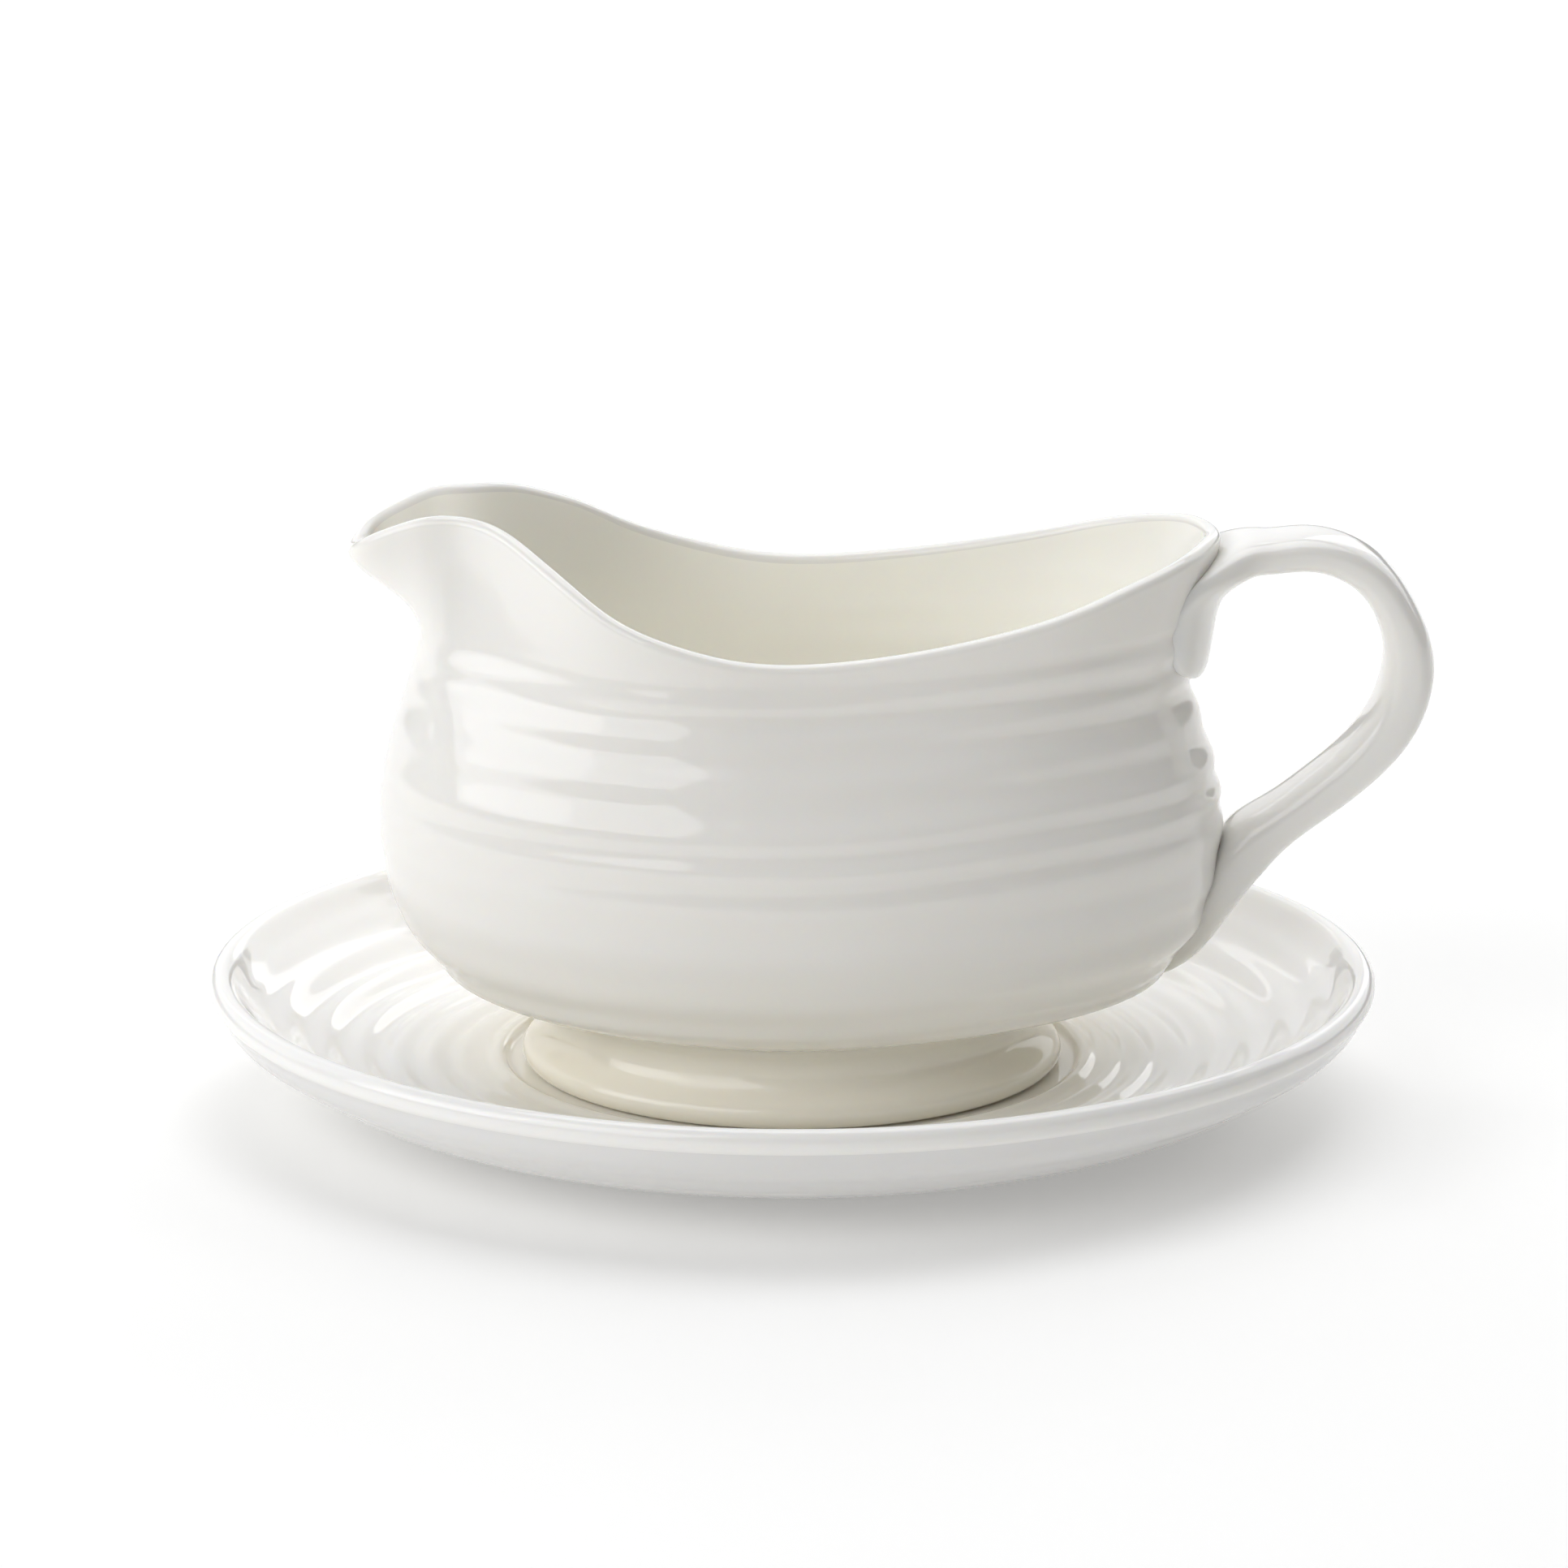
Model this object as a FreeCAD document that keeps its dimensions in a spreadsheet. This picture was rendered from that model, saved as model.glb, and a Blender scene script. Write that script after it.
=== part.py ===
import FreeCAD, Part
import math
import os

import Sketcher
from FreeCAD import Vector

# Gravy boat on an oval stand, glazed porcelain. Millimetres, +Z up.
# Origin: centre of the stand's foot ring, on the table. Spout to -X, handle to +X.

DIMENSIONS = {
    "stand_half_length": 115.0,
    "plan_ratio": 0.80,
    "stand_height": 27.0,
    "stand_lip_radius": 2.6,
    "stand_foot_outer": 70.5,
    "stand_foot_inner": 66.3,
    "stand_foot_height": 4.2,
    "well_radius": 56.5,
    "well_height": 8.0,
    "well_ring_height": 10.2,
    "boat_rest_height": 8.15,
    "grinding_allowance": 0.4,
    "foot_lip_radius": 53.8,
    "foot_base_outer": 51.2,
    "foot_base_inner": 47.4,
    "foot_seam_radius": 50.0,
    "foot_hollow_radius": 44.6,
    "foot_seam_height": 15.5,
    "bowl_wall": 3.4,
    "bowl_floor": 4.0,
    "rim_radius": 1.6,
}

# Bowl body by height above the foot base: height, half-length to the spout,
# half-length to the handle, half-width.
BODY_STATIONS = (
    (15.5, 50.0, 50.0, 40.0),
    (17.8, 63.0, 68.0, 44.6),
    (21.5, 70.0, 75.3, 47.8),
    (28.0, 75.6, 80.0, 50.6),
    (37.0, 79.7, 83.2, 52.5),
    (48.0, 81.5, 85.0, 53.0),
    (60.0, 80.9, 83.8, 51.4),
    (71.0, 78.2, 80.6, 48.0),
    (80.0, 75.2, 78.2, 45.0),
    (88.0, 73.4, 79.4, 43.0),
    (98.0, 73.2, 81.4, 42.2),
    (108.0, 73.6, 83.2, 42.0),
    (118.0, 74.0, 84.6, 42.0),
)

# Rim line from the handle end round to the spout: angle in plan, reach, half-width,
# height above the foot base.
RIM_STATIONS = (
    (0.0, 83.3, 0.0, 107.3),
    (10.0, 81.9, 7.0, 107.4),
    (20.0, 78.7, 14.2, 106.8),
    (30.0, 73.4, 21.0, 105.4),
    (42.0, 64.2, 27.8, 102.9),
    (55.0, 50.6, 34.2, 98.8),
    (70.0, 26.5, 39.2, 94.0),
    (88.0, -1.0, 41.6, 91.7),
    (105.0, -19.5, 41.4, 94.4),
    (120.0, -35.5, 37.3, 100.0),
    (130.0, -44.4, 31.2, 105.3),
    (138.0, -51.0, 24.8, 109.0),
    (145.0, -57.2, 18.7, 111.9),
    (152.0, -63.8, 14.5, 113.0),
    (160.0, -71.2, 13.2, 112.5),
    (167.0, -77.8, 11.2, 110.0),
    (174.0, -84.2, 7.6, 106.6),
    (180.0, -86.4, 0.0, 104.6),
)

# Handle strap from the tongue under the rim round to the tail: reach, height above the
# foot base, thickness, half-width, wrap round the wall.
STRAP_STATIONS = (
    (78.7, 80.6, 2.0, 7.0, 0.021),
    (79.3, 82.4, 3.6, 13.0, 0.022),
    (79.9, 86.5, 4.3, 16.6, 0.022),
    (80.4, 92.0, 4.8, 17.8, 0.022),
    (81.5, 97.3, 5.8, 17.0, 0.020),
    (84.3, 101.6, 7.2, 13.6, 0.012),
    (88.6, 104.3, 7.4, 10.2, 0.004),
    (93.5, 104.9, 7.2, 8.8, 0.0),
    (99.5, 105.4, 7.4, 8.4, 0.0),
    (106.0, 104.3, 7.6, 8.2, 0.0),
    (112.5, 100.5, 7.8, 8.2, 0.0),
    (117.2, 94.2, 8.2, 8.2, 0.0),
    (119.9, 87.3, 9.2, 8.2, 0.0),
    (120.5, 81.0, 10.0, 8.2, 0.0),
    (119.2, 74.6, 10.2, 8.2, 0.0),
    (115.8, 68.0, 10.0, 8.2, 0.0),
    (109.8, 61.3, 9.6, 8.2, 0.0),
    (102.9, 55.5, 9.3, 8.2, 0.0),
    (96.0, 50.2, 9.4, 8.4, 0.0),
    (89.8, 44.8, 11.0, 8.9, 0.0),
    (85.6, 37.8, 9.2, 8.8, -0.004),
    (82.2, 31.0, 7.4, 7.8, -0.010),
    (78.5, 25.0, 6.0, 6.4, -0.012),
    (75.2, 21.0, 3.8, 4.6, -0.012),
    (73.2, 18.8, 1.8, 2.4, 0.0),
)

PLAN_STEPS = 60
SPOUT_CROWDING = 0.42
RING_STEPS = 20
RIPPLE_STEPS = 44
CORNER = 0.68


def make_sheet(doc):
    """One row per named dimension, in millimetres."""
    sheet = doc.addObject("Spreadsheet::Sheet", "dims")
    for row, (name, value) in enumerate(DIMENSIONS.items(), start=1):
        sheet.set("A%d" % row, name)
        sheet.set("B%d" % row, str(value))
        sheet.setAlias("B%d" % row, name)
    doc.recompute()
    return sheet


def smooth(value, start, end):
    """Smooth step from 0 at start to 1 at end."""
    t = min(max((value - start) / (end - start), 0.0), 1.0)
    return t * t * (3.0 - 2.0 * t)


def curve_through(keys, points):
    """Interpolating curve whose parameter is the given key."""
    curve = Part.BSplineCurve()
    curve.interpolate(Points=points, Parameters=keys)
    return curve


def body_curves():
    """Half-lengths and half-width of the bowl body as one curve over height."""
    keys = [row[0] for row in BODY_STATIONS]
    return curve_through(keys, [Vector(*row[1:]) for row in BODY_STATIONS])


def rim_curve():
    """Rim line over the plan angle from 0 to 360 degrees, mirrored about the XZ plane."""
    near = [(-a, Vector(x, -w, z)) for a, x, w, z in RIM_STATIONS[3:0:-1]]
    half = [(a, Vector(x, w, z)) for a, x, w, z in RIM_STATIONS]
    far = [(360.0 - a, Vector(x, -w, z)) for a, x, w, z in RIM_STATIONS[-2::-1]]
    beyond = [(360.0 + a, Vector(x, w, z)) for a, x, w, z in RIM_STATIONS[1:4]]
    rows = near + half + far + beyond
    return curve_through([row[0] for row in rows], [row[1] for row in rows])


class BowlShape:
    """Outer face of the bowl over plan angle and level, with the wall set in from it."""

    def __init__(self, sheet):
        self.body = body_curves()
        self.rim = rim_curve()
        self.base = sheet.foot_seam_height
        self.wall = sheet.bowl_wall
        self.floor = sheet.bowl_floor
        self.lip = sheet.rim_radius
        self.middle = min(row[3] for row in RIM_STATIONS)

    def body_point(self, angle, height):
        left, right, width = self.body.value(height)
        c = math.cos(angle)
        reach = 0.5 * (left + right) * c + 0.5 * (right - left) * c * c
        return Vector(reach, width * math.sin(angle), height)

    def outer(self, angle, level):
        """Point of the outer face; level 0 is the seam with the foot, 1 the rim."""
        rim = self.rim.value(math.degrees(angle) % 360.0)
        rise = smooth(level, 0.25, 1.0) * (rim.z - self.middle)
        height = self.base + level * (self.middle - self.base) + rise
        body = self.body_point(angle, height)
        spout = math.exp(-((angle - math.pi) / 0.42) ** 2)
        pull = smooth(level, 0.5 + 0.33 * spout, 1.0)
        top = self.body_point(angle, rim.z)
        shift = Vector(rim.x - top.x, rim.y - top.y, 0.0)
        return body + shift * pull

    def frame(self, angle, level):
        """Point, outward normal and upward tangent of the outer face."""
        d = 1e-3
        low, high = max(level - d, 0.0), min(level + d, 1.0)
        up = (self.outer(angle, high) - self.outer(angle, low)).normalize()
        along = (self.outer(angle + d, level) - self.outer(angle - d, level)).normalize()
        out = along.cross(up).normalize()
        return self.outer(angle, level), out, out.cross(along).normalize()

    def lip_point(self, angle, turn):
        """Rounded lip: turn 0 is the outer edge, pi the inner edge."""
        point, out, up = self.frame(angle, 1.0)
        centre = point - out * self.lip
        return centre + out * (self.lip * math.cos(turn)) + up * (self.lip * math.sin(turn))

    def inner(self, angle, level):
        """Point of the inner face; the wall thickens from the lip down."""
        point, out, _ = self.frame(angle, level)
        thick = self.wall + (2.0 * self.lip - self.wall) * smooth(level, 0.8, 1.0)
        inside = point - out * thick
        lowest = self.base + self.floor
        inside.z = max(inside.z, lowest + 0.4)
        return inside

    def floor_point(self, angle, share):
        """Ring on the floor of the bowl, a share of the seam ellipse."""
        left, _, width = self.body.value(self.base)
        lift = 0.35 * smooth(share, 0.70, 1.05)
        height = self.base + self.floor + lift
        return Vector(share * left * math.cos(angle), share * width * math.sin(angle), height)


def plan_angles():
    """Plan angles, crowded towards the spout."""
    steps = [2.0 * math.pi * i / PLAN_STEPS for i in range(PLAN_STEPS)]
    return [s + SPOUT_CROWDING * math.sin(s) for s in steps]


def bowl_rows(shape):
    """Rings of points from the outer seam, over the lip, to the floor."""
    angles = plan_angles()
    levels = (0.0, 0.03, 0.07, 0.12, 0.18, 0.26, 0.34, 0.43, 0.52, 0.61, 0.69, 0.76,
              0.82, 0.865, 0.90, 0.93, 0.96, 0.985, 1.0)
    rows = [[shape.outer(a, level) for a in angles] for level in levels]
    for turn in (0.5, 1.05, 1.57, 2.09, 2.64):
        rows.append([shape.lip_point(a, turn) for a in angles])
    for level in reversed(levels[3:]):
        rows.append([shape.inner(a, level) for a in angles])
    for share in (1.02, 0.90, 0.78):
        rows.append([shape.floor_point(a, share) for a in angles])
    return rows


def row_parameters(rows):
    """Mean chord length from row to row, scaled to 0..1."""
    lengths = [0.0]
    for low, high in zip(rows, rows[1:]):
        steps = [(b - a).Length for a, b in zip(low, high)]
        lengths.append(lengths[-1] + sum(steps) / len(steps))
    return [value / lengths[-1] for value in lengths]


def closed_surface(rows):
    """B-spline surface through rings of points, closed round each ring."""
    count = len(rows[0])
    ring_keys = [i / count for i in range(count + 1)]
    rings = []
    for row in rows:
        ring = Part.BSplineCurve()
        ring.interpolate(Points=row, PeriodicFlag=True, Parameters=ring_keys)
        rings.append(ring)
    row_keys = row_parameters(rows)
    pole_rows = [ring.getPoles() for ring in rings]
    columns = [curve_through(row_keys, list(column)) for column in zip(*pole_rows)]
    surface = Part.BSplineSurface()
    surface.buildFromPolesMultsKnots(
        [column.getPoles() for column in columns],
        rings[0].getMultiplicities(), columns[0].getMultiplicities(),
        rings[0].getKnots(), columns[0].getKnots(),
        True, False, 3, 3)
    return surface


def capped_solid(rows):
    """Solid bounded by the surface through the rings and a flat cap at each end ring."""
    side = closed_surface(rows).toShape()
    ends = [edge for edge in side.Edges if edge.isClosed()]
    caps = [Part.Face(Part.Wire([edge])) for edge in ends]
    shell = Part.Shell([side] + caps)
    shell.sewShape()
    solid = Part.Solid(shell)
    if solid.Volume < 0:
        solid.reverse()
    return solid


def make_bowl(doc, sheet):
    """Cast bowl with its spout: one free-form wall of even thickness."""
    bowl = doc.addObject("Part::Feature", "boat_bowl")
    bowl.Shape = capped_solid(bowl_rows(BowlShape(sheet)))
    bowl.setExpression("Placement.Base.z", "dims.boat_rest_height")
    return bowl


def strap_rows():
    """Rings of points round the handle strap, one ring per station."""
    keys = [float(i) for i in range(len(STRAP_STATIONS))]
    path = curve_through(keys, [Vector(row[0], 0, row[1]) for row in STRAP_STATIONS])
    rows = []
    for key, (_, _, thick, half, wrap) in zip(keys, STRAP_STATIONS):
        centre = path.value(key)
        along = path.tangent(key)[0].normalize()
        out = Vector(-along.z, 0.0, along.x)
        row = []
        for i in range(RING_STEPS):
            turn = 2.0 * math.pi * i / RING_STEPS
            side = half * math.copysign(abs(math.cos(turn)) ** CORNER, math.cos(turn))
            depth = 0.5 * thick * math.copysign(abs(math.sin(turn)) ** CORNER, math.sin(turn))
            bend = wrap * side * side
            row.append(centre + out * (depth + bend) + Vector(0.0, side, 0.0))
        rows.append(row)
    return rows


def make_handle(doc, bowl):
    """Strap handle with a tongue under the rim and a tail, seated on the bowl's wall."""
    strap = doc.addObject("Part::Feature", "handle_strap")
    strap.Shape = capped_solid(strap_rows())
    strap.setExpression("Placement.Base.z", "dims.boat_rest_height")
    handle = doc.addObject("Part::Cut", "boat_handle")
    handle.Base = strap
    handle.Tool = bowl
    return handle


def origin_plane(body, role):
    """The body's own origin plane with the given role."""
    return next(item for item in body.Origin.OriginFeatures if item.Role == role)


def segment(kind, points):
    """Sketch geometry of one kind through plan points."""
    vectors = [Vector(x, y, 0) for x, y in points]
    if kind == "line":
        return Part.LineSegment(*vectors)
    curve = Part.BSplineCurve()
    curve.interpolate(vectors)
    return curve


def make_profile(body, name, segments, driven):
    """Closed sketch on the XZ plane; driven holds (segment, axis, expression) start points."""
    sketch = body.newObject("Sketcher::SketchObject", name)
    sketch.AttachmentSupport = [(origin_plane(body, "XZ_Plane"), "")]
    sketch.MapMode = "FlatFace"
    for kind, points in segments:
        sketch.addGeometry(segment(kind, points))
    count = len(segments)
    for i in range(count):
        sketch.addConstraint(Sketcher.Constraint("Coincident", i, 2, (i + 1) % count, 1))
    for index, axis, expression in driven:
        start = segments[index][1][0]
        value = start[0] if axis == "DistanceX" else start[1]
        place = sketch.addConstraint(Sketcher.Constraint(axis, -1, 1, index, 1, value))
        sketch.setExpression("Constraints[%d]" % place, expression)
    return sketch


def make_turned(doc, name, segments, driven):
    """Body turned from a profile about Z, narrowed to the oval plan, its base ground flat."""
    body = doc.addObject("PartDesign::Body", name + "_round")
    sketch = make_profile(body, name + "_profile", segments, driven)
    doc.recompute()
    turn = body.newObject("PartDesign::Revolution", name + "_turn")
    turn.Profile = sketch
    turn.ReferenceAxis = (sketch, ["V_Axis"])
    turn.Angle = 360.0
    body.Tip = turn
    oval = doc.addObject("Part::Scale", name + "_oval")
    oval.Base = body
    oval.Uniform = False
    oval.XScale = 1.0
    oval.ZScale = 1.0
    oval.setExpression("YScale", "dims.plan_ratio")
    wheel = doc.addObject("Part::Box", name + "_grind")
    wheel.Placement.Base = Vector(-120, -120, -5)
    wheel.Length = 240
    wheel.Width = 240
    wheel.Height = 5
    ground = doc.addObject("Part::Cut", name)
    ground.Base = oval
    ground.Tool = wheel
    return ground


def make_foot(doc, sheet):
    """Flared foot ring luted under the bowl."""
    lip, outer, inner = sheet.foot_lip_radius, sheet.foot_base_outer, sheet.foot_base_inner
    seam, hollow, top = sheet.foot_seam_radius, sheet.foot_hollow_radius, sheet.foot_seam_height
    allowance = sheet.grinding_allowance
    segments = [
        ("line", [(inner, -allowance), (outer, -allowance)]),
        ("spline", [(outer, -allowance), (lip - 0.7, 0.9), (lip, 2.5), (lip - 0.6, 4.1),
                    (lip - 2.4, 5.6), (lip - 4.6, 7.7), (lip - 5.8, 10.4),
                    (lip - 5.4, 13.0), (seam, top)]),
        ("line", [(seam, top), (hollow, top)]),
        ("spline", [(hollow, top), (hollow + 0.2, top - 5), (hollow + 1.0, 5.0),
                    (hollow + 2.2, 1.6), (inner, -allowance)]),
    ]
    driven = [
        (0, "DistanceX", "dims.foot_base_inner"),
        (1, "DistanceX", "dims.foot_base_outer"),
        (2, "DistanceX", "dims.foot_seam_radius"),
        (2, "DistanceY", "dims.foot_seam_height"),
        (3, "DistanceX", "dims.foot_hollow_radius"),
    ]
    foot = make_turned(doc, "boat_foot", segments, driven)
    foot.setExpression("Placement.Base.z", "dims.boat_rest_height")
    return foot


def ripple_line(sheet):
    """Upper face of the dish from the well ring to the lip, with soft ripples."""
    lip, height = sheet.stand_half_length, sheet.stand_height
    ring = sheet.well_ring_height
    slope = curve_through(
        [60.0, 65.0, 72.0, 80.0, 88.0, 96.0, 102.5, 107.0, lip - 4.6],
        [Vector(0, z, 0) for z in (ring, 8.7, 8.8, 9.3, 10.9, 14.2, 18.3, 21.9, height - 0.95)])
    points = []
    for step in range(RIPPLE_STEPS + 1):
        reach = 60.0 + (lip - 4.6 - 60.0) * step / RIPPLE_STEPS
        wave = 0.35 * math.cos(2.0 * math.pi * (reach - 99.0) / 7.0)
        fade = smooth(reach, 62.0, 67.0) * (1.0 - smooth(reach, 103.0, 109.0))
        points.append((reach, slope.value(reach).y + wave * fade))
    return points


def make_stand(doc, sheet):
    """Oval rippled dish with a well for the boat and its own foot ring."""
    lip, height, round_off = sheet.stand_half_length, sheet.stand_height, sheet.stand_lip_radius
    well, floor = sheet.well_radius, sheet.well_height
    outer, inner, under = sheet.stand_foot_outer, sheet.stand_foot_inner, sheet.stand_foot_height
    allowance = sheet.grinding_allowance
    upper = ripple_line(sheet)
    lip_centre = (lip - round_off, height - round_off)
    lip_line = [(lip_centre[0] + round_off * math.cos(math.radians(turn)),
                 lip_centre[1] + round_off * math.sin(math.radians(turn)))
                for turn in (100, 75, 50, 25, 0, -25, -50)]
    lip_line.insert(0, upper[-1])
    segments = [
        ("line", [(0, under), (0, floor)]),
        ("line", [(0, floor), (well, floor)]),
        ("spline", [(well, floor), (well + 0.9, floor + 0.5), (well + 2.0, floor + 1.9),
                    (60.0, sheet.well_ring_height)]),
        ("spline", upper),
        ("spline", lip_line),
        ("spline", [lip_line[-1], (112.3, 18.9), (106.0, 14.1), (99.5, 10.2), (92.0, 6.9),
                    (84.0, 4.5), (77.0, 3.5), (outer + 1.6, 2.6), (outer, -allowance)]),
        ("line", [(outer, -allowance), (inner, -allowance)]),
        ("spline", [(inner, -allowance), (inner - 0.8, 1.8), (inner - 2.6, 3.6), (inner - 5.0, under)]),
        ("line", [(inner - 5.0, under), (0, under)]),
    ]
    driven = [
        (1, "DistanceY", "dims.well_height"),
        (2, "DistanceX", "dims.well_radius"),
        (2, "DistanceY", "dims.well_height"),
        (3, "DistanceY", "dims.well_ring_height"),
        (6, "DistanceX", "dims.stand_foot_outer"),
        (7, "DistanceX", "dims.stand_foot_inner"),
        (8, "DistanceY", "dims.stand_foot_height"),
    ]
    return make_turned(doc, "stand_dish", segments, driven)


def check_and_write(pieces):
    """Refuse any piece that did not build, then write one STEP file per piece."""
    os.makedirs("parts", exist_ok=True)
    for piece in pieces:
        assert "Invalid" not in piece.State and "Error" not in piece.State, piece.Name
        assert not piece.Shape.isNull() and piece.Shape.isValid(), piece.Name
        piece.Shape.exportStep("parts/%s.step" % piece.Label)
        box = piece.Shape.BoundBox
        print(piece.Label, len(piece.Shape.Solids), round(piece.Shape.Volume), box)


def main():
    doc = FreeCAD.newDocument("gravy_boat")
    sheet = make_sheet(doc)
    stand = make_stand(doc, sheet)
    foot = make_foot(doc, sheet)
    bowl = make_bowl(doc, sheet)
    handle = make_handle(doc, bowl)
    doc.recompute()
    for item in doc.Objects:
        assert "Invalid" not in item.State, item.Name
    check_and_write([stand, foot, bowl, handle])


main()
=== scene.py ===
import math

import bpy
import numpy as np
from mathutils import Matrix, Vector


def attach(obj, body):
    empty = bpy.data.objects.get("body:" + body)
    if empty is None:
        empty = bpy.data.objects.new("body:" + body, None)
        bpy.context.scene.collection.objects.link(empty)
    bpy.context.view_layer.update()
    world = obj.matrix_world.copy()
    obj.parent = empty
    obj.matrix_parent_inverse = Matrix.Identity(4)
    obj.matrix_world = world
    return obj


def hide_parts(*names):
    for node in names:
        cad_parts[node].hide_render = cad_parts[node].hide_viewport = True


# Gravy boat on its oval stand, glazed white porcelain. Shapes are worked out in
# millimetres, in the frame of the CAD model, and stored in metres.
MM = 0.001
REST = 8.15           # height of the boat's foot above the table
PLAN_RATIO = 0.80     # width over length of the stand and of the boat's foot
WALL = 3.4            # thickness of the bowl's wall
LIP_RADIUS = 1.6      # rounding of the bowl's rim
BOWL_FLOOR = 19.5     # middle of the bowl's floor above the foot base
FLOOR_EDGE = 19.9     # where the wall runs out into that floor

# Points round each piece, and rows up the bowl and along the handle.
BOWL_COLUMNS, BOWL_ROWS = 300, 171
FOOT_COLUMNS = 256
STAND_COLUMNS = 300
HANDLE_COLUMNS, HANDLE_ROWS = 72, 260
FULL_TURN = 2.0 * math.pi

# Bowl body by height above the foot base: height, half-length to the spout,
# half-length to the handle, half-width.
BODY_STATIONS = (
    (15.5, 50.0, 50.0, 40.0),
    (17.8, 63.0, 68.0, 44.6),
    (21.5, 70.0, 75.3, 47.8),
    (28.0, 75.6, 80.0, 50.6),
    (37.0, 79.7, 83.2, 52.5),
    (48.0, 81.5, 85.0, 53.0),
    (60.0, 80.9, 83.8, 51.4),
    (71.0, 78.2, 80.6, 48.0),
    (80.0, 75.2, 78.2, 45.0),
    (88.0, 73.4, 79.4, 43.0),
    (98.0, 73.2, 81.4, 42.2),
    (108.0, 73.6, 83.2, 42.0),
    (118.0, 74.0, 84.6, 42.0),
)

# Rim line: angle in plan, reach, half-width, height above the foot base.
RIM_STATIONS = (
    (0.0, 83.3, 0.0, 107.3),
    (10.0, 81.9, 7.0, 107.4),
    (20.0, 78.7, 14.2, 106.8),
    (30.0, 73.4, 21.0, 105.4),
    (42.0, 64.2, 27.8, 102.9),
    (55.0, 50.6, 34.2, 98.8),
    (70.0, 26.5, 39.2, 94.0),
    (88.0, -1.0, 41.6, 91.7),
    (105.0, -19.5, 41.4, 94.4),
    (120.0, -35.5, 37.3, 100.0),
    (130.0, -44.4, 31.2, 105.3),
    (138.0, -51.0, 24.8, 109.0),
    (145.0, -57.2, 18.7, 111.9),
    (152.0, -63.8, 14.5, 113.0),
    (160.0, -71.2, 13.2, 112.5),
    (167.0, -77.8, 11.2, 110.0),
    (174.0, -84.2, 7.6, 106.6),
    (180.0, -86.4, 0.0, 104.6),
)

SEAM = BODY_STATIONS[0][0]                     # height of the bowl's seam with the foot
LOW_RIM = min(row[3] for row in RIM_STATIONS)  # height of the rim's lowest point
SPOUT_SPREAD = 0.42   # how far round the bowl the spout pulls the wall, in radians

# Throwing rings: where each begins, as a share of the way from the seam to the low rim,
# their depth everywhere, the depth added where they are bold and where they are broad,
# how far round the spout they stay calm, and the seeds of their drift.
RING_STARTS = (0.0, 0.05, 0.13, 0.25, 0.39, 0.495, 0.58, 0.70, 0.815, 0.905, 1.0)
RING_DEPTH, BOLD_DEPTH, BROAD_DEPTH = 0.14, 0.07, 0.08
CALM_SPREAD = 0.55
OUTSIDE_SEED, INSIDE_SEED = 5, 11

# Stand: middle of the rolled lip and its radius, the reach of one ripple's crest, the
# ripples' spacing and depth, and how much the lip rises and reaches out at the two ends.
STAND_LIP_REACH, STAND_LIP_HEIGHT, STAND_LIP_RADIUS = 112.4, 24.4, 2.6
RIPPLE_CREST, RIPPLE_SPACING, RIPPLE_DEPTH = 99.0, 7.0, 0.24
END_RISE, END_REACH = 1.2, 0.008

# Handle strap: reach, height above the foot base, thickness, half-width, and wrap, which
# times the square of the distance from the middle is the bend across the strap.
STRAP_STATIONS = (
    (78.7, 80.6, 2.0, 7.0, 0.021),
    (79.3, 82.4, 3.6, 13.0, 0.022),
    (79.9, 86.5, 4.3, 16.6, 0.022),
    (80.4, 92.0, 4.8, 17.8, 0.022),
    (81.5, 97.3, 5.8, 17.0, 0.020),
    (84.3, 101.6, 7.2, 13.6, 0.012),
    (88.6, 104.3, 7.4, 10.2, 0.004),
    (93.5, 104.9, 7.2, 8.8, 0.0),
    (99.5, 105.4, 7.4, 8.4, 0.0),
    (106.0, 104.3, 7.6, 8.2, 0.0),
    (112.5, 100.5, 7.8, 8.2, 0.0),
    (117.2, 94.2, 8.2, 8.2, 0.0),
    (119.9, 87.3, 9.2, 8.2, 0.0),
    (120.5, 81.0, 10.0, 8.2, 0.0),
    (119.2, 74.6, 10.2, 8.2, 0.0),
    (115.8, 68.0, 10.0, 8.2, 0.0),
    (109.8, 61.3, 9.6, 8.2, 0.0),
    (102.9, 55.5, 9.3, 8.2, 0.0),
    (96.0, 50.2, 9.4, 8.4, 0.0),
    (89.8, 44.8, 11.0, 8.9, 0.0),
    (85.6, 37.8, 9.2, 8.8, -0.004),
    (82.2, 31.0, 7.4, 7.8, -0.010),
    (78.5, 25.0, 6.0, 6.4, -0.012),
    (75.2, 21.0, 3.8, 4.6, -0.012),
    (73.2, 18.8, 1.8, 2.4, 0.0),
)


def smooth(value, start, end):
    """Smooth step from 0 at start to 1 at end."""
    t = np.clip((value - start) / (end - start), 0.0, 1.0)
    return t * t * (3.0 - 2.0 * t)


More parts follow.
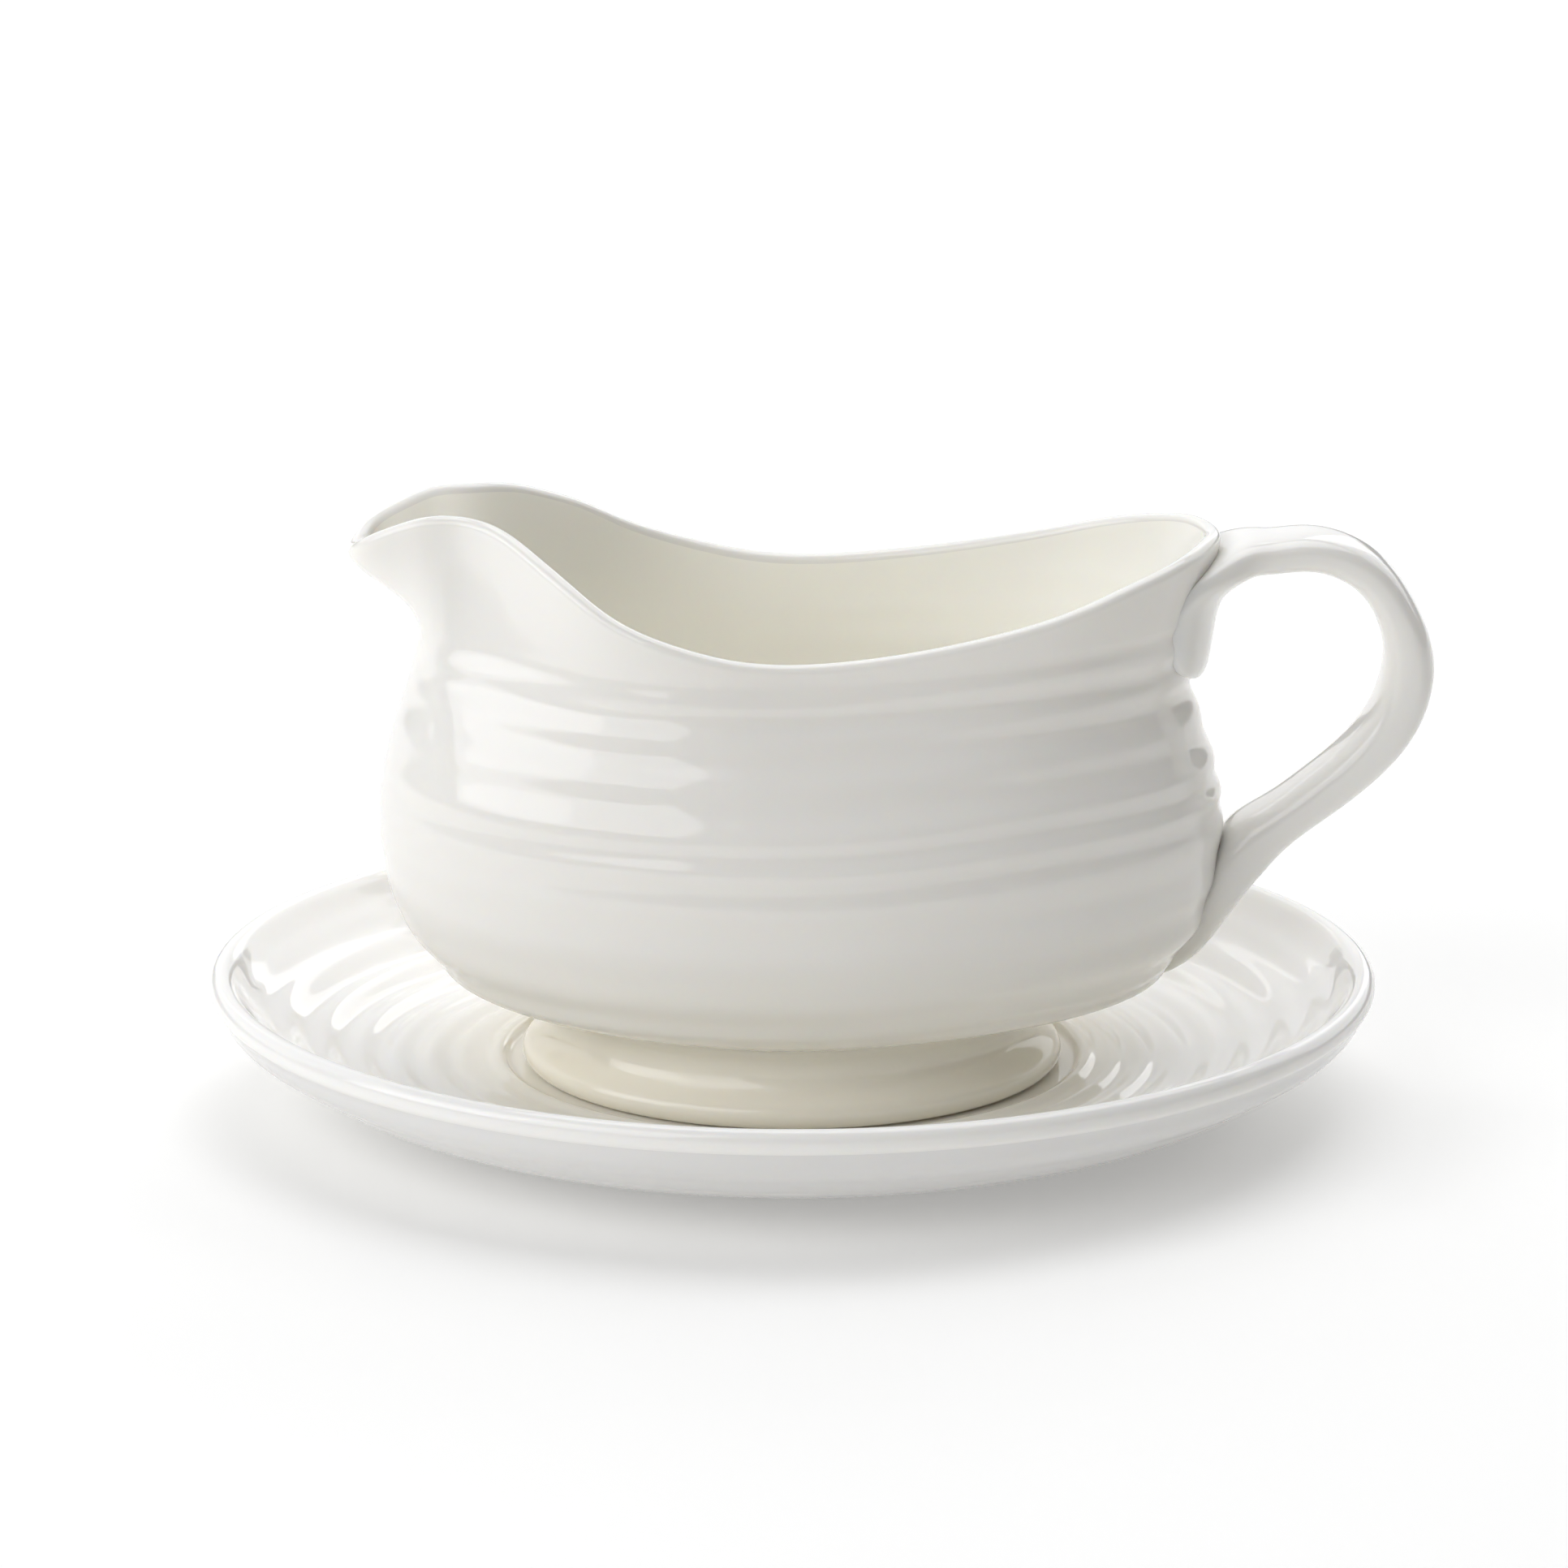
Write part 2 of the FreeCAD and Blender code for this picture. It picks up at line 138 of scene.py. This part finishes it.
def spline(keys, values, at):
    """Natural cubic curve through values at keys, sampled at `at`."""
    keys = np.asarray(keys, float)
    values = np.asarray(values, float)
    at = np.asarray(at, float)
    gap = np.diff(keys)
    n = len(keys)
    system = np.eye(n)
    right = np.zeros((n,) + values.shape[1:])
    slope = (np.diff(values, axis=0).T / gap).T
    for i in range(1, n - 1):
        system[i, i - 1:i + 2] = gap[i - 1], 2.0 * (gap[i - 1] + gap[i]), gap[i]
        right[i] = 6.0 * (slope[i] - slope[i - 1])
    bend = np.linalg.solve(system, right)
    i = np.clip(np.searchsorted(keys, at) - 1, 0, n - 2)
    h = gap[i]
    a = (keys[i + 1] - at) / h
    b = (at - keys[i]) / h
    if values.ndim > 1:
        a, b, h = a[..., None], b[..., None], h[..., None]
    lines = a * values[i] + b * values[i + 1]
    return lines + ((a ** 3 - a) * bend[i] + (b ** 3 - b) * bend[i + 1]) * h * h / 6.0


def unit(vectors):
    """Vectors scaled to length 1."""
    return vectors / np.maximum(np.linalg.norm(vectors, axis=-1, keepdims=True), 1e-9)


def normals_of(grid):
    """Outward normals of a grid of rings, each ring closed, rows running upward."""
    along = np.roll(grid, -1, axis=1) - np.roll(grid, 1, axis=1)
    up = np.gradient(grid, axis=0)
    return unit(np.cross(along, up))


def mesh_piece(name, grid, close_rows=False, poles=(), upper_from=None):
    """Smooth quad mesh from rings of points in mm.

    poles names the ends closed with a centre point. Faces from the ring upper_from on
    take the second material."""
    rows, columns = grid.shape[:2]
    points = [tuple(p) for p in grid.reshape(-1, 3) * MM]
    faces = []
    last = rows if close_rows else rows - 1
    for r in range(last):
        below, above = r * columns, ((r + 1) % rows) * columns
        for c in range(columns):
            after = (c + 1) % columns
            faces.append((below + c, below + after, above + after, above + c))
    for end in poles:
        row = 0 if end == "start" else rows - 1
        points.append(tuple(grid[row].mean(axis=0) * MM))
        tip = len(points) - 1
        for c in range(columns):
            a, b = row * columns + c, row * columns + (c + 1) % columns
            faces.append((tip, b, a) if end == "start" else (tip, a, b))
    mesh = bpy.data.meshes.new(name)
    mesh.from_pydata(points, [], faces)
    mesh.polygons.foreach_set("use_smooth", [True] * len(mesh.polygons))
    if upper_from is not None:
        start = upper_from * columns
        mesh.polygons.foreach_set("material_index", [int(min(f) >= start) for f in faces])
    mesh.update()
    piece = bpy.data.objects.new(name, mesh)
    bpy.context.scene.collection.objects.link(piece)
    return piece


# ---------------------------------------------------------------- bowl

def rim_line(angles):
    """Rim reach, side and height at plan angles from 0 to 2 pi."""
    back = list(RIM_STATIONS)
    front = [(360.0 - a, x, -w, z) for a, x, w, z in RIM_STATIONS[-2::-1]]
    before = [(-a, x, -w, z) for a, x, w, z in RIM_STATIONS[3:0:-1]]
    after = [(360.0 + a, x, w, z) for a, x, w, z in RIM_STATIONS[1:4]]
    line = before + back + front + after
    return spline([row[0] for row in line], [row[1:] for row in line], np.degrees(angles))


def body_point(angles, heights):
    """Body outline at each height as an egg-shaped oval."""
    sizes = spline([row[0] for row in BODY_STATIONS], [row[1:] for row in BODY_STATIONS],
                   heights)
    spout, tail, width = np.moveaxis(sizes, -1, 0)
    c = np.cos(angles)
    reach = 0.5 * (spout + tail) * c + 0.5 * (tail - spout) * c * c
    return np.stack([reach, width * np.sin(angles), heights], -1)


def near_spout(angles, spread):
    """1 at the spout, falling to 0 round the bowl."""
    return np.exp(-((angles - math.pi) / spread) ** 2)


def bowl_outer(angles, levels):
    """Outer face of the bowl from the seam with the foot to the rim, without rings."""
    angles, levels = np.broadcast_arrays(angles[None, :], levels[:, None])
    rim = rim_line(angles)
    rise = smooth(levels, 0.25, 1.0) * (rim[..., 2] - LOW_RIM)
    heights = SEAM + levels * (LOW_RIM - SEAM) + rise
    body = body_point(angles, heights)
    spout = near_spout(angles, SPOUT_SPREAD)
    pull = smooth(levels, 0.5 + 0.33 * spout, 1.0)
    shift = rim - body_point(angles, rim[..., 2])
    shift[..., 2] = 0.0
    return body + shift * pull[..., None]


def ring_count(levels):
    """How many throwing rings lie below each level."""
    return spline(RING_STARTS, np.arange(len(RING_STARTS), dtype=float), levels)


def ring_height(angles, heights, seed):
    """Throwing rings: soft rolls, nearly level, that drift round the bowl, in mm.

    They are calm at the spout, bold low down and towards the handle, and broad high up
    towards the handle."""
    rng = np.random.default_rng(seed)
    a, t = np.broadcast_arrays(angles[None, :], (heights - SEAM) / (LOW_RIM - SEAM))
    drift = sum(rng.uniform(-1, 1) / k * np.cos(k * a + rng.uniform(0, 6.3))
                for k in (1, 2, 3))
    climb = 0.034 * smooth(np.cos(a), 0.0, 0.7)    # rings rise a little to the handle
    count = ring_count(np.clip(t - climb, 0.0, 1.0)) + 0.07 * drift
    swell = sum(rng.uniform(0.5, 1) * np.cos(k * a + rng.uniform(2, 4) * count)
                for k in (1, 2, 3))
    wave = np.cos(FULL_TURN * (count - 0.25))
    calm = near_spout(a, CALM_SPREAD)
    bold = np.maximum(smooth(np.cos(a), -0.5, 0.1), 1.0 - smooth(t, 0.3, 0.5))
    broad = smooth(np.cos(a), -0.2, 0.4) * smooth(t, 0.40, 0.52)
    depth = RING_DEPTH + BOLD_DEPTH * bold + BROAD_DEPTH * broad
    return depth * (1.0 - 0.6 * calm + 0.10 * swell) * wave


def make_bowl():
    """Bowl with its spout: ringed outside, rounded lip, inside, floor and underside."""
    steps = np.linspace(0.0, FULL_TURN, BOWL_COLUMNS, endpoint=False)
    angles = steps + 0.42 * np.sin(steps)    # closer together at the spout
    levels = np.linspace(0.0, 1.0, BOWL_ROWS)
    smooth_outer = bowl_outer(angles, levels)
    out = normals_of(smooth_outer)
    spout = near_spout(angles[None, :], CALM_SPREAD)
    # The rings fade out at the seam, at the rim and up the spout.
    fade = smooth(levels, 0.02, 0.10)[:, None] * (1.0 - smooth(levels, 0.88, 0.98))[:, None]
    fade = fade * (1.0 - 0.85 * spout * smooth(levels, 0.62, 0.80)[:, None])
    heights = smooth_outer[..., 2]
    rings = (ring_height(angles, heights, OUTSIDE_SEED) - 0.1) * fade
    outer = smooth_outer + out * rings[..., None]

    edge, edge_out = smooth_outer[-1], out[-1]
    along = unit(np.roll(edge, -1, axis=0) - np.roll(edge, 1, axis=0))
    edge_up = unit(np.cross(edge_out, along))
    centre = edge - edge_out * LIP_RADIUS
    lip_rows = np.stack([centre + edge_out * LIP_RADIUS * math.cos(turn)
                         + edge_up * LIP_RADIUS * math.sin(turn)
                         for turn in np.linspace(0.0, math.pi, 15)[1:-1]])

    thick = WALL + (2.0 * LIP_RADIUS - WALL) * smooth(levels, 0.8, 1.0)
    inner = smooth_outer - out * thick[:, None, None]
    inner_rings = 0.35 * ring_height(angles, heights, INSIDE_SEED) * fade
    inner = inner + out * inner_rings[..., None]
    inner[..., 2] = np.maximum(inner[..., 2], FLOOR_EDGE)
    inner = inner[::-2]    # every second ring, from the rim down

    ring = inner[-1]
    floor_rows = []
    for share in np.linspace(0.97, 0.03, 26):
        row = ring * share
        row[:, 2] = BOWL_FLOOR + (ring[:, 2] - BOWL_FLOOR) * share ** 4
        floor_rows.append(row)

    seam = smooth_outer[0]
    under_rows = []
    for share in np.linspace(0.03, 0.99, 12):
        row = seam * share
        row[:, 2] = seam[0, 2]
        under_rows.append(row)

    grid = np.concatenate([np.stack(under_rows), outer, lip_rows, inner,
                           np.stack(floor_rows)])
    grid[..., 2] += REST
    first_inside = len(under_rows) + len(outer) + len(lip_rows)
    return mesh_piece("bowl_and_spout", grid, poles=("start", "end"),
                      upper_from=first_inside)


# ---------------------------------------------------------------- foot and stand

def turned(profile, turn):
    """Rings at the angles turn from a profile of radius and height, oval in plan."""
    r, z = profile[:, :1], profile[:, 1:2]
    return np.stack([r * np.cos(turn), r * np.sin(turn) * PLAN_RATIO, z + 0.0 * turn], -1)


def rounded(points, steps):
    """Smooth profile through points, even in arc length."""
    points = np.asarray(points, float)
    spans = np.linalg.norm(np.diff(points, axis=0), axis=1)
    length = np.concatenate([[0.0], np.cumsum(spans)])
    return spline(length, points, np.linspace(0.0, length[-1], steps))


def make_foot():
    """Flared foot ring: flat base, rounded lip, cove up to the seam, hollow inside."""
    outside = rounded([(50.9, 0.02), (52.4, 0.35), (53.5, 1.3), (53.8, 2.6), (53.35, 4.0),
                       (52.0, 5.2), (49.9, 6.9), (48.4, 9.0), (47.9, 11.2), (48.3, 13.4),
                       (49.3, 14.9), (49.8, 15.8)], 60)
    top = np.array([(49.4, 15.9), (46.0, 15.9)])
    inside = rounded([(44.9, 15.8), (44.7, 10.5), (45.2, 5.5), (46.2, 2.0), (47.5, 0.1)], 30)
    base = np.array([(48.4, 0.0), (50.0, 0.0)])
    turn = np.linspace(0.0, FULL_TURN, FOOT_COLUMNS, endpoint=False)
    grid = turned(np.concatenate([outside, top, inside, base]), turn)
    grid[..., 2] += REST
    return mesh_piece("foot_ring", grid, close_rows=True)


def make_stand():
    """Oval dish: well for the boat, raised well ring, ripples, rolled lip and foot ring."""
    floor = np.stack([np.linspace(1.5, 55.9, 24), np.full(24, 8.0)], 1)
    well = rounded([(56.3, 8.02), (56.8, 8.4), (57.4, 9.1), (58.2, 9.6), (59.3, 9.6),
                    (60.8, 9.2), (63.2, 8.95)], 26)
    reach = np.linspace(63.6, 110.2, 130)
    rise = spline([60.0, 65.0, 72.0, 80.0, 88.0, 96.0, 102.5, 107.0, 110.4],
                  [9.3, 8.85, 8.8, 9.3, 10.9, 14.2, 18.3, 21.9, 26.05], reach)
    slope = np.stack([reach, rise], 1)
    roll = np.radians(np.linspace(120.0, -50.0, 26))
    lip = np.stack([STAND_LIP_REACH + STAND_LIP_RADIUS * np.cos(roll),
                    STAND_LIP_HEIGHT + STAND_LIP_RADIUS * np.sin(roll)], 1)
    under = rounded([(113.4, 20.9), (112.3, 18.9), (106.0, 14.1), (99.5, 10.2), (92.0, 6.9),
                     (84.0, 4.5), (77.0, 3.5), (73.2, 3.1), (71.4, 2.0), (70.9, 0.6),
                     (70.0, 0.0)], 70)
    foot = rounded([(69.0, 0.0), (67.2, 0.0), (66.3, 0.5), (65.7, 1.8), (64.6, 3.2),
                    (62.4, 4.0), (59.0, 4.2)], 30)
    belly = np.stack([np.linspace(56.0, 1.5, 16), np.full(16, 4.2)], 1)
    profile = np.concatenate([floor, well, slope, lip, under, foot, belly])
    turn = np.linspace(0.0, FULL_TURN, STAND_COLUMNS, endpoint=False)
    grid = turned(profile, turn)

    # Ripples on the slope, which drift and swell round the dish.
    start = len(floor) + len(well)
    r = slope[:, :1]
    drift = (0.10 * np.cos(turn + 0.8) + 0.07 * np.cos(2.0 * turn + 2.0)
             + 0.05 * np.cos(3.0 * turn))
    depth = RIPPLE_DEPTH * (1.0 + 0.2 * np.cos(2.0 * turn + 1.0)
                            + 0.15 * np.cos(3.0 * turn + r / 9.0))
    fade = smooth(r, 62.0, 68.0) * (1.0 - smooth(r, 104.0, 109.5))
    phase = (r - RIPPLE_CREST) / RIPPLE_SPACING + drift
    ripple = depth * fade * np.cos(FULL_TURN * phase)
    grid[start:start + len(slope), :, 2] += ripple

    # The lip rises and reaches out a little at the two ends of the oval.
    ends = smooth(profile[:, :1], 78.0, 112.0) * np.cos(turn) ** 2
    grid[..., 2] += END_RISE * ends
    grid[..., 0] *= 1.0 + END_REACH * ends
    first_dish = len(belly) + len(foot) + len(under)
    return mesh_piece("stand", grid[::-1], poles=("start", "end"), upper_from=first_dish)


# ---------------------------------------------------------------- handle

def make_handle():
    """Strap handle swept from the tongue under the rim round to the tail."""
    keys = np.arange(len(STRAP_STATIONS))
    at = np.linspace(0.0, keys[-1], HANDLE_ROWS)
    x, z, thick, half, wrap = spline(keys, STRAP_STATIONS, at).T
    centre = np.stack([x, np.zeros_like(x), z], 1)
    along = unit(np.gradient(centre, axis=0))
    out = np.stack([-along[:, 2], 0.0 * x, along[:, 0]], 1)
    turn = np.linspace(0.0, FULL_TURN, HANDLE_COLUMNS, endpoint=False)
    corner = 0.68    # 1 for an oval strap, towards 0 for a square one
    side = half[:, None] * np.sign(np.cos(turn)) * np.abs(np.cos(turn)) ** corner
    depth = 0.5 * thick[:, None] * np.sign(np.sin(turn)) * np.abs(np.sin(turn)) ** corner
    depth = depth + wrap[:, None] * side * side
    grid = centre[:, None, :] + out[:, None, :] * depth[..., None]
    grid[..., 1] += side
    grid[..., 2] += REST
    return mesh_piece("handle", grid, poles=("start", "end"))


# ---------------------------------------------------------------- materials

# Tints of the one glaze, clouded at random. Some are painted light: a warmer tint for
# painted shade near the bowl's seam and in the stand's well, a brighter, warmer copy inside
# the bowl, a warmer, darker copy on the foot, and a cooler, darker copy for painted shade
# below the stand's lip.
TINTS = {
    "outside": {"pale": (0.885, 0.872, 0.835, 1.0), "deep": (0.872, 0.857, 0.816, 1.0),
                # low: painted warm shade on the bowl's low body near its seam with the foot
                "low": (0.882, 0.860, 0.785, 1.0)},
    # inside: a brighter, warmer copy of the glaze, painted bounce light and glow inside the
    # bowl
    "inside": {"pale": (0.992, 0.976, 0.910, 1.0), "deep": (0.985, 0.967, 0.894, 1.0)},
    # foot: a warmer, darker copy of the glaze, painted warm shade on the foot under the bowl
    "foot": {"pale": (0.885, 0.840, 0.722, 1.0), "deep": (0.870, 0.823, 0.698, 1.0)},
    "dish": {"pale": (0.915, 0.906, 0.878, 1.0), "deep": (0.915, 0.906, 0.878, 1.0),
             # well: painted warm shade in the stand's well under the boat
             "well": (0.895, 0.866, 0.785, 1.0)},
    # below: a cooler, darker copy of the glaze, painted shade under the stand's lip
    "below": {"pale": (0.800, 0.795, 0.780, 1.0), "deep": (0.788, 0.782, 0.764, 1.0)},
}
# Where the painted shade lies (reach of the stand's well, height on the bowl) and how softly
# it ends, in metres.
WELL_REACH, LOW_HEIGHT, SHADE_EDGE = 0.058, 0.026, 0.022
FLOOR_GLOW = 0.20     # light given off by the studio paper


def principled(name):
    """New material and its Principled shader."""
    material = bpy.data.materials.new(name)
    material.use_nodes = True
    return material, material.node_tree, material.node_tree.nodes["Principled BSDF"]


def plan_distance(tree, place):
    """Distance from the middle in plan, the same all along an oval."""
    plan = tree.nodes.new("ShaderNodeVectorMath")
    plan.operation = "MULTIPLY"
    plan.inputs[1].default_value = (1.0, 1.0 / PLAN_RATIO, 0.0)
    tree.links.new(place.outputs["Object"], plan.inputs[0])
    length = tree.nodes.new("ShaderNodeVectorMath")
    length.operation = "LENGTH"
    tree.links.new(plan.outputs["Vector"], length.inputs[0])
    return length.outputs["Value"]


def height(tree, place):
    """Height above the table with the boat at rest."""
    parts = tree.nodes.new("ShaderNodeSeparateXYZ")
    tree.links.new(place.outputs["Object"], parts.inputs["Vector"])
    return parts.outputs["Z"]


def blend_painted_shade(tree, colour, shade_tint, measure, start):
    """Painted shade: the tint where the measure is under start, turning softly to colour
    beyond it.
    """
    share = tree.nodes.new("ShaderNodeMapRange")
    share.interpolation_type = "SMOOTHSTEP"
    share.inputs["From Min"].default_value = start
    share.inputs["From Max"].default_value = start + SHADE_EDGE
    tree.links.new(measure, share.inputs["Value"])
    shade_mix = tree.nodes.new("ShaderNodeMix")
    shade_mix.data_type = "RGBA"
    shade_mix.inputs["A"].default_value = shade_tint
    tree.links.new(share.outputs["Result"], shade_mix.inputs["Factor"])
    tree.links.new(colour, shade_mix.inputs["B"])
    return shade_mix.outputs["Result"]


def glaze(name, pale, deep, well=None, low=None):
    """White porcelain under clear gloss, clouded from pale to deep.

    Painted warm shade has a tint of its own: well in the middle of the stand under the
    boat, and low near the bowl's seam with the foot."""
    material, tree, shader = principled(name)
    nodes, links = tree.nodes, tree.links
    shader.inputs["Roughness"].default_value = 0.06
    shader.inputs["IOR"].default_value = 1.5
    shader.inputs["Subsurface Weight"].default_value = 0.25
    shader.inputs["Subsurface Radius"].default_value = (1.0, 0.8, 0.5)
    shader.inputs["Subsurface Scale"].default_value = 0.003
    place = nodes.new("ShaderNodeTexCoord")
    cloud = nodes.new("ShaderNodeTexNoise")
    cloud.inputs["Scale"].default_value = 14.0
    cloud.inputs["Detail"].default_value = 3.0
    links.new(place.outputs["Object"], cloud.inputs["Vector"])
    tint = nodes.new("ShaderNodeValToRGB")
    first, last = tint.color_ramp.elements
    first.position, first.color = 0.30, deep
    last.position, last.color = 0.62, pale
    links.new(cloud.outputs["Fac"], tint.inputs["Fac"])
    colour = tint.outputs["Color"]
    # Painted warm shade: the stand's well under the boat, and the bowl's low body by the
    # seam.
    if well:
        colour = blend_painted_shade(tree, colour, well, plan_distance(tree, place), WELL_REACH)
    if low:
        colour = blend_painted_shade(tree, colour, low, height(tree, place), LOW_HEIGHT)
    links.new(colour, shader.inputs["Base Color"])
    wave = nodes.new("ShaderNodeTexNoise")
    wave.inputs["Scale"].default_value = 55.0
    wave.inputs["Detail"].default_value = 1.5
    links.new(place.outputs["Object"], wave.inputs["Vector"])
    bump = nodes.new("ShaderNodeBump")
    bump.inputs["Strength"].default_value = 0.10
    bump.inputs["Distance"].default_value = 0.0006
    links.new(wave.outputs["Fac"], bump.inputs["Height"])
    links.new(bump.outputs["Normal"], shader.inputs["Normal"])
    return material


def floor_material():
    """Pale seamless studio paper."""
    material, tree, shader = principled("studio_paper")
    nodes, links = tree.nodes, tree.links
    shader.inputs["Roughness"].default_value = 0.9
    shader.inputs["Specular IOR Level"].default_value = 0.1
    shader.inputs["Emission Color"].default_value = (1.0, 1.0, 1.0, 1.0)
    shader.inputs["Emission Strength"].default_value = FLOOR_GLOW
    noise = nodes.new("ShaderNodeTexNoise")
    noise.inputs["Scale"].default_value = 900.0
    place = nodes.new("ShaderNodeTexCoord")
    links.new(place.outputs["Object"], noise.inputs["Vector"])
    ramp = nodes.new("ShaderNodeValToRGB")
    ramp.color_ramp.elements[0].color = (0.807, 0.800, 0.780, 1.0)
    ramp.color_ramp.elements[1].color = (0.827, 0.820, 0.799, 1.0)
    links.new(noise.outputs["Fac"], ramp.inputs["Fac"])
    links.new(ramp.outputs["Color"], shader.inputs["Base Color"])
    return material


# ---------------------------------------------------------------- studio

# Lamp: name, azimuth (0 in front, positive to the right), elevation, distance, width,
# height, power.
LAMPS = (
    ("key_left", -50.0, 30.0, 1.7, 2.0, 1.15, 14.2),
    ("key_core", -62.0, 26.0, 1.65, 0.9, 0.7, 2.8),
    ("back_left", -125.0, 32.0, 1.8, 1.9, 1.4, 8.2),
    ("back_right", 136.0, 29.0, 1.8, 1.9, 1.3, 12.5),
    ("back", 180.0, 26.0, 1.9, 1.9, 1.4, 8.8),
    ("top", 150.0, 75.0, 1.7, 1.6, 1.3, 16.0),
    ("front_fill", -28.0, 42.0, 1.9, 1.2, 0.9, 1.8),
)
LAMP_COLOUR = (0.985, 0.994, 1.020)
ROOM = 0.03           # strength of the dim white room
PAPER_HALF = 6.0      # half the side of the square of studio paper, in metres
SUBJECT = Vector((0.0, 0.0, 0.05))    # middle of the boat, which lamps and camera face

# Camera: distance to the subject, turn to the right and lift above the table in degrees,
# focal length and sensor in mm, and the shift of its aim up and to the left in metres.
CAMERA_DISTANCE, CAMERA_TURN, CAMERA_LIFT = 1.1, 0.5, 18.4
CAMERA_LENS, CAMERA_SENSOR = 127.49, 36.0
AIM_UP, AIM_LEFT = 0.01439, 0.00156


def direction(azimuth, elevation):
    """Unit vector from the subject at an azimuth and elevation in degrees."""
    turn, lift = math.radians(azimuth), math.radians(elevation)
    return Vector((math.sin(turn) * math.cos(lift), -math.cos(turn) * math.cos(lift),
                   math.sin(lift)))


def area_light(name, azimuth, elevation, distance, width, height, power):
    """Rectangular soft light facing the boat."""
    way = direction(azimuth, elevation)
    light = bpy.data.lights.new(name, "AREA")
    light.shape = "RECTANGLE"
    light.size, light.size_y = width, height
    light.energy = power
    light.color = LAMP_COLOUR
    lamp = bpy.data.objects.new(name, light)
    lamp.location = SUBJECT + way * distance
    lamp.rotation_euler = (-way).to_track_quat("-Z", "Y").to_euler()
    bpy.context.scene.collection.objects.link(lamp)


def make_studio():
    """Pale lit table, soft lights and a dim room."""
    mesh = bpy.data.meshes.new("studio_floor")
    corners = [(x * PAPER_HALF, y * PAPER_HALF, 0)
               for x, y in ((-1, -1), (1, -1), (1, 1), (-1, 1))]
    mesh.from_pydata(corners, [], [(0, 1, 2, 3)])
    mesh.materials.append(floor_material())
    floor = bpy.data.objects.new("studio_floor", mesh)
    bpy.context.scene.collection.objects.link(floor)
    world = bpy.data.worlds.new("studio")
    world.use_nodes = True
    background = world.node_tree.nodes["Background"]
    background.inputs["Color"].default_value = (1.0, 1.0, 1.0, 1.0)
    background.inputs["Strength"].default_value = ROOM
    bpy.context.scene.world = world
    for row in LAMPS:
        area_light(*row)


def make_camera():
    """Long lens, a little above the rim, square to the boat's side."""
    back = direction(CAMERA_TURN, CAMERA_LIFT)
    turn = math.radians(CAMERA_TURN)
    right = Vector((math.cos(turn), math.sin(turn), 0.0))
    up = right.cross(-back)
    place = SUBJECT + back * CAMERA_DISTANCE
    aim = SUBJECT + up * AIM_UP - right * AIM_LEFT
    data = bpy.data.cameras.new("camera")
    data.lens = CAMERA_LENS
    data.sensor_width = CAMERA_SENSOR
    camera = bpy.data.objects.new("camera", data)
    camera.location = place
    camera.rotation_euler = (aim - place).to_track_quat("-Z", "Y").to_euler()
    bpy.context.scene.collection.objects.link(camera)
    bpy.context.scene.camera = camera


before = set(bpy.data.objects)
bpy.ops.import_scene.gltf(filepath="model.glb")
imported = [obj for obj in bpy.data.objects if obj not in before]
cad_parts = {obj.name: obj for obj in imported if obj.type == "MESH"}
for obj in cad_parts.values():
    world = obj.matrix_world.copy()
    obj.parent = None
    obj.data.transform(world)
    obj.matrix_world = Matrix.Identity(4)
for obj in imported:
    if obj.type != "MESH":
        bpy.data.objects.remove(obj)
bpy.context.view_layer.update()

bowl = make_bowl()
foot = make_foot()
handle = make_handle()
stand = make_stand()
coats = {name: glaze("glaze_" + name, **tints) for name, tints in TINTS.items()}
# The inside, foot and below coats carry painted bounce light or shade.
for piece, body, node, glazes in (
    (bowl, "boat", "boat_bowl", ("outside", "inside")),
    (foot, "boat", "boat_foot", ("foot",)),
    (handle, "boat", "boat_handle", ("outside",)),
    (stand, "stand", "stand_dish", ("below", "dish")),
):
    for coat in glazes:
        piece.data.materials.append(coats[coat])
    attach(piece, body)
    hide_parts(node)
make_studio()
make_camera()
bpy.context.scene.view_settings.view_transform = "Standard"
